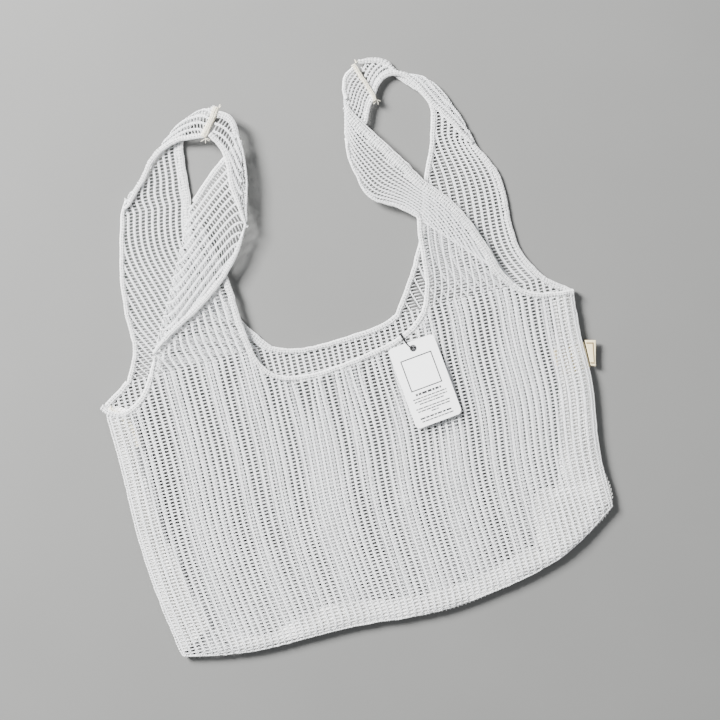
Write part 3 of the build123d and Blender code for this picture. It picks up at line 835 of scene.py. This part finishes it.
# the seam itself, a stitched ridge round the rim
for seed, (name, points) in enumerate((("left_rim", LEFT_SIDE), ("bottom_rim", BOTTOM), ("right_rim", RIGHT_SIDE))):
    ridge = Threads()
    path = level_path(points, SEAM_MID, SEAM_MID)
    hem_band(ridge, path, 1, 2.6, pitch=2.9, thick=1.7, core=False, seed=seed + 60, cords=(0.4,))
    ridge.object(name, HEM_THREAD, rides="bag", slot="seam_allowance")

# cream overlock where the left side seam meets the armhole
corner = Threads()
hem_band(corner, level_path([(-257, -2), (-247, -12), (-238, -30), (-236.5, -46)], 7.4, 7.2), 1, 5.5, pitch=1.8,
         thick=0.9, seed=71, cords=(0.2, 0.8))
corner.object("left_seam_overlock", CREAM, CREAM_CORE, rides="bag", slot="overlock")


# --- shoulder seams
def tails(threads, start, directions, length, seed):
    """Loose ends of overlock thread."""
    rng = np.random.default_rng(seed)
    for way in directions:
        t = np.linspace(0, 1, 14)[:, None]
        bend = rng.normal(0, 0.35, 2)
        line = np.array(start) + t * length * np.array([*way, 0.0]) \
            + np.concatenate([t ** 2 * bend * length * 0.5, -t ** 2 * 0.8], axis=1)
        frame_along = unit(np.gradient(line, axis=0))
        up = np.broadcast_to([0.0, 0.0, 1.0], line.shape)
        side = unit(np.cross(up, frame_along))
        threads.add(line[None], side[None], np.cross(frame_along, side)[None], 0.3, 5)


for key, points, low, high, seed, width in (
        ("left", [(-66, 278.5), (-72, 269.5), (-79, 260.5), (-87, 251)], 13.0, 13.0, 81, 6.5),
        ("right", [(84.5, 290.5), (89, 276), (94, 262), (97, 247.5)], 7.2, 7.6, 83, 4.5)):
    threads = Threads()
    hem_band(threads, level_path(points, low, high), -1, width, pitch=2.5, thick=1.7, seed=seed, cords=(0.2, 0.5, 0.8))
    start, end = np.array([*points[0], low]), np.array([*points[-1], high])
    tails(threads, start, [(0.5, 0.9), (0.9, 0.5), (0.2, 1.0)], 3.5, seed)
    tails(threads, end, [(0.3, -0.9), (-0.5, -0.8), (0.9, -0.4), (-0.9, -0.3)], 5.0, seed + 1)
    threads.object(f"{key}_shoulder_yarn", CREAM, CREAM_CORE, rides=f"{key}_handle",
                   replaces=[f"{key}_shoulder_seam"], slot="overlock")


# --- the woven label
LABEL_Y = (-80, -52)
FLAP_X, FLAP_RUN = 248.1, 12.45     # where the flap starts and how far it reaches
FLAP_LOW, FLAP_HIGH, FLAP_MID = 5.15, 6.25, 5.7
STITCH_Z, BORDER_THREAD = 6.42, 0.28


def ribbon(name, profile, low, high, rides, node, place=lambda x, y: (x, y)):
    """A woven ribbon: its profile (x, z) in mm carried along y, with a little thickness."""
    rows, k = 25, len(profile)
    verts = [(*place(x, y), z + 0.12 * math.sin(y * 0.35 + x * 0.4)) for y in np.linspace(low, high, rows)
             for x, z in profile]
    corners = (j * k + i for j in range(rows - 1) for i in range(k - 1))
    faces = [(at, at + 1, at + k + 1, at + k) for at in corners]
    piece = add_mesh(name, verts, faces, LABEL)
    piece.data.polygons.foreach_set("use_smooth", [True] * len(faces))
    thick = piece.modifiers.new("thickness", "SOLIDIFY")
    thick.thickness, thick.offset = 0.28 * MM, 0
    attach(piece, rides, None, [node])


def skewed(x, y):
    """The label was sewn in at a slant: its end leans against the side seam."""
    share, down = (x - FLAP_X) / FLAP_RUN, (LABEL_Y[1] - y) / (LABEL_Y[1] - LABEL_Y[0])
    return ((1 - share) * (248.3 - 0.3 * down) + share * (259.4 - 6.8 * down),
            (1 - share) * (-50.5 - 27.6 * down) + share * (-53.3 - 26.4 * down))


turn = [(260.0 + 0.55 * math.sin(a), FLAP_MID - 0.55 * math.cos(a)) for a in np.linspace(0, math.pi, 9)]
flap_profile = [(x, FLAP_LOW) for x in np.linspace(FLAP_X, 259.5, 9)] + turn \
    + [(x, FLAP_HIGH) for x in np.linspace(259.5, FLAP_X, 9)]
ribbon("label_flap_ribbon", flap_profile, *LABEL_Y, "label_flap", "side_label_flap", skewed)
ribbon("label_tail_ribbon", [(x, SEAM_MID) for x in np.linspace(213, 246.8, 22)], *LABEL_Y, "bag", "side_label_tail")
# the stitched border: three lines round three sides of the flap
border = Threads()
for offset in (0.0, 0.55, 1.1):
    corners = [(248.6, -54.6 - offset), (257.6 - offset, -54.6 - offset), (257.6 - offset, -77.4 + offset),
               (248.6, -77.4 + offset)]
    for a, b in zip(corners, corners[1:]):
        line = np.linspace([*a, STITCH_Z], [*b, STITCH_Z], 40)
        line[:, 2] += 0.12 * np.sin(line[:, 1] * 0.35 + line[:, 0] * 0.4) + 0.05 * np.sin(np.arange(40) * 2.4)
        line[:, :2] = [skewed(x, y) for x, y in line[:, :2]]
        way = unit(np.gradient(line, axis=0))
        upward = np.broadcast_to([0.0, 0.0, 1.0], line.shape)
        border.add(line[None], unit(np.cross(upward, way))[None], upward[None], BORDER_THREAD, 5)
border.object("label_border", BORDER, rides="label_flap", slot="woven_label")


# --- the hang tag
TAG_HOLE = (70.5, -14.9)
TAG_TURN = math.radians(6.3)
TAG_TOP = 13.9          # height of the card's face
TAG_SIZE = (50.8, 88.9)
HOLE_ACROSS, HOLE_DOWN = 25.9, 7.5


def on_tag(across, down):
    """A point of the card, from its top left corner, in the shared frame."""
    x, y = across - HOLE_ACROSS, HOLE_DOWN - down
    c, s = math.cos(TAG_TURN), math.sin(TAG_TURN)
    return TAG_HOLE[0] + c * x - s * y, TAG_HOLE[1] + s * x + c * y


def print_bars(name, bars, rise=0.05):
    """Printed shapes: rectangles (left, top, width, height) on the card."""
    verts, faces = [], []
    for left, top, width, height in bars:
        base = len(verts)
        for z in (TAG_TOP - 0.02, TAG_TOP + rise):
            for across, down in ((left, top), (left + width, top), (left + width, top + height), (left, top + height)):
                verts.append((*on_tag(across, down), z))
        faces += [tuple(base + i for i in quad) for quad in
                  ((0, 1, 2, 3), (7, 6, 5, 4), (0, 4, 5, 1), (1, 5, 6, 2), (2, 6, 7, 3), (3, 7, 4, 0))]
    attach(add_mesh(name, verts, faces, INK), "hang_tag")


FRAME_LEFT, FRAME_TOP, FRAME_SIDE, FRAME_LINE = 8.1, 16.2, 34.5, 1.2
far, between = FRAME_SIDE - FRAME_LINE, FRAME_SIDE - 2 * FRAME_LINE
print_bars("tag_frame_print", [(FRAME_LEFT, FRAME_TOP + down, FRAME_SIDE, FRAME_LINE) for down in (0, far)]
           + [(FRAME_LEFT + over, FRAME_TOP + FRAME_LINE, FRAME_LINE, between) for over in (0, far)])
rng = np.random.default_rng(3)
row_bars = []
for down, width, height in (
        (55.0, 28.0, 2.3), (59.2, 37.0, 1.2), (62.3, 36.0, 1.2), (65.3, 27.0, 1.2), (69.8, 38.0, 1.2),
        (72.7, 35.5, 1.2), (75.5, 8.0, 1.2), (80.3, 36.0, 1.7), (83.7, 34.5, 1.2)):
    place = TAG_SIZE[0] / 2 - width / 2
    stop = place + width
    while place < stop - 0.8:
        word = min(float(rng.uniform(2.0, 6.0)), stop - place)
        row_bars.append((place, down - height / 2, word, height))
        place += word + (0.9 if height > 1.5 else 0.6)
print_bars("tag_row_print", row_bars)

for node, material in (("hang_tag", CARD), ("tag_eyelet", EYELET)):
    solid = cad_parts[node]
    for slot in solid.material_slots:
        slot.material = material

# --- the string
curve = bpy.data.curves.new("tag_cord", "CURVE")
curve.dimensions = "3D"
curve.bevel_depth = 0.0006
curve.bevel_resolution = 4
curve.resolution_u = 12
line = curve.splines.new("NURBS")
line.points.add(len(STRING_ROUTE) - 1)
for point, (x, y, z) in zip(line.points, STRING_ROUTE):
    point.co = (x * MM, y * MM, z * MM, 1)
line.order_u = 3
line.use_endpoint_u = True
curve.materials.append(STRING)
string = add_object("tag_cord", curve)
attach(string, "bag", replaces=["tag_string"])


# --- lights and floor
FLOOR_Z = -0.0008
bpy.ops.mesh.primitive_plane_add(size=8, location=(0, 0, FLOOR_Z))
floor = bpy.context.object
floor.name = "floor"
floor.data.materials.append(FLOOR)


def area_light(name, place, size, power):
    """A square soft light, turned to the middle of the bag."""
    data = bpy.data.lights.new(name, "AREA")
    data.size, data.energy = size, power
    lamp = add_object(name, data)
    lamp.location = place
    lamp.rotation_euler = (-Vector(place)).to_track_quat("-Z", "Y").to_euler()


area_light("key", (-1.7, 1.9, 1.8), 1.1, 640)
area_light("fill", (1.8, -1.2, 2.4), 2.5, 30)
world = bpy.data.worlds.new("studio")
world.use_nodes = True
world.node_tree.nodes["Background"].inputs["Color"].default_value = (0.9, 0.95, 1.0, 1)
world.node_tree.nodes["Background"].inputs["Strength"].default_value = 0.42
bpy.context.scene.world = world
